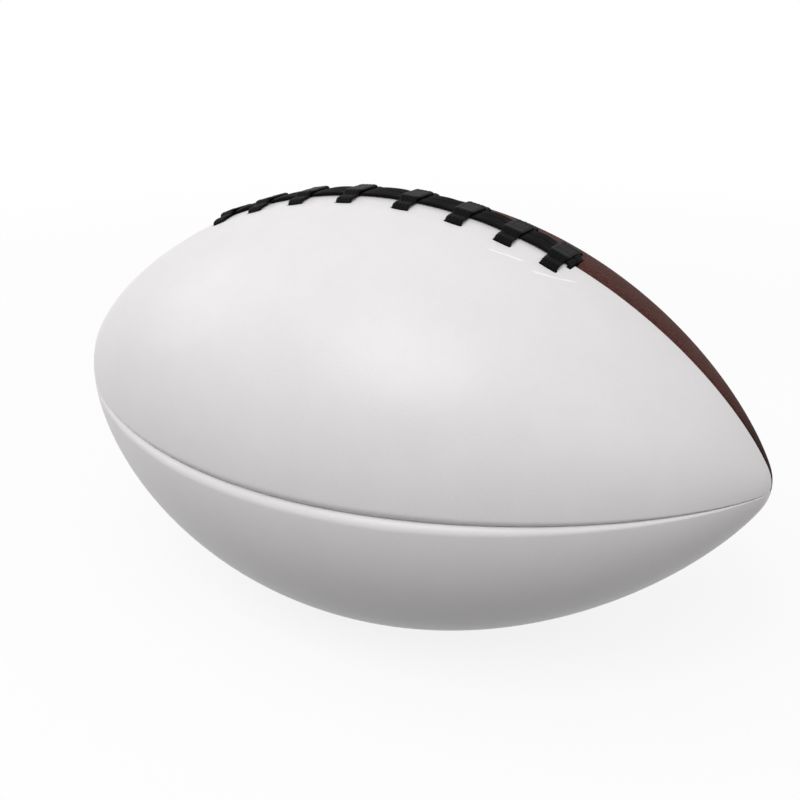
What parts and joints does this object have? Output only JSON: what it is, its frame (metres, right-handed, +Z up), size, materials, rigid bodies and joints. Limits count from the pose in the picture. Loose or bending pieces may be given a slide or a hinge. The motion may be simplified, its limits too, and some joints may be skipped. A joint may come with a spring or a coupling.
{
  "type": "american football",
  "caption": "Laced American football with two white and two brown panels sewn round an inflatable bladder with a needle valve.",
  "frame": {"origin": "on the ground under the middle of the ball, which lies on its bottom seam", "axes": "+X along the ball from tip to tip, +Y towards the brown side, +Z up through the middle of the lacing"},
  "size_m": [0.2794, 0.1579, 0.1611],
  "materials": {
    "white_cover": "smooth semi-gloss white composite cover",
    "brown_cover": "dark brown pebbled composite cover",
    "lace_vinyl": "black ribbed satin vinyl lace",
    "lining_cloth": "plain woven backing cloth",
    "facing_cloth": "coated doubling strip",
    "guard_rubber": "matte rubber sheet",
    "bladder_rubber": "black butyl rubber",
    "valve_rubber": "moulded black rubber",
    "plug_rubber": "soft dark brown rubber",
    "sewing_thread": "heavy bonded off-white thread"
  },
  "bodies": {
    "root": {"panel_white_laced": "white_cover", "panel_white_lower": "white_cover", "panel_brown_lower": "brown_cover", "panel_brown_laced": "brown_cover", "lining_white_laced": "lining_cloth", "lining_white_lower": "lining_cloth", "lining_brown_lower": "lining_cloth", "lining_brown_laced": "lining_cloth", "seam_thread_top_left": "sewing_thread", "seam_thread_top_right": "sewing_thread", "seam_thread_white_side": "sewing_thread", "seam_thread_bottom": "sewing_thread", "seam_thread_brown_side": "sewing_thread", "lace_facing_white": "facing_cloth", "lace_facing_brown": "facing_cloth", "bladder_guard": "guard_rubber", "lace": "lace_vinyl", "bladder": "bladder_rubber", "valve_housing": "valve_rubber", "valve_plug": "plug_rubber"}
  },
  "joints": []
}
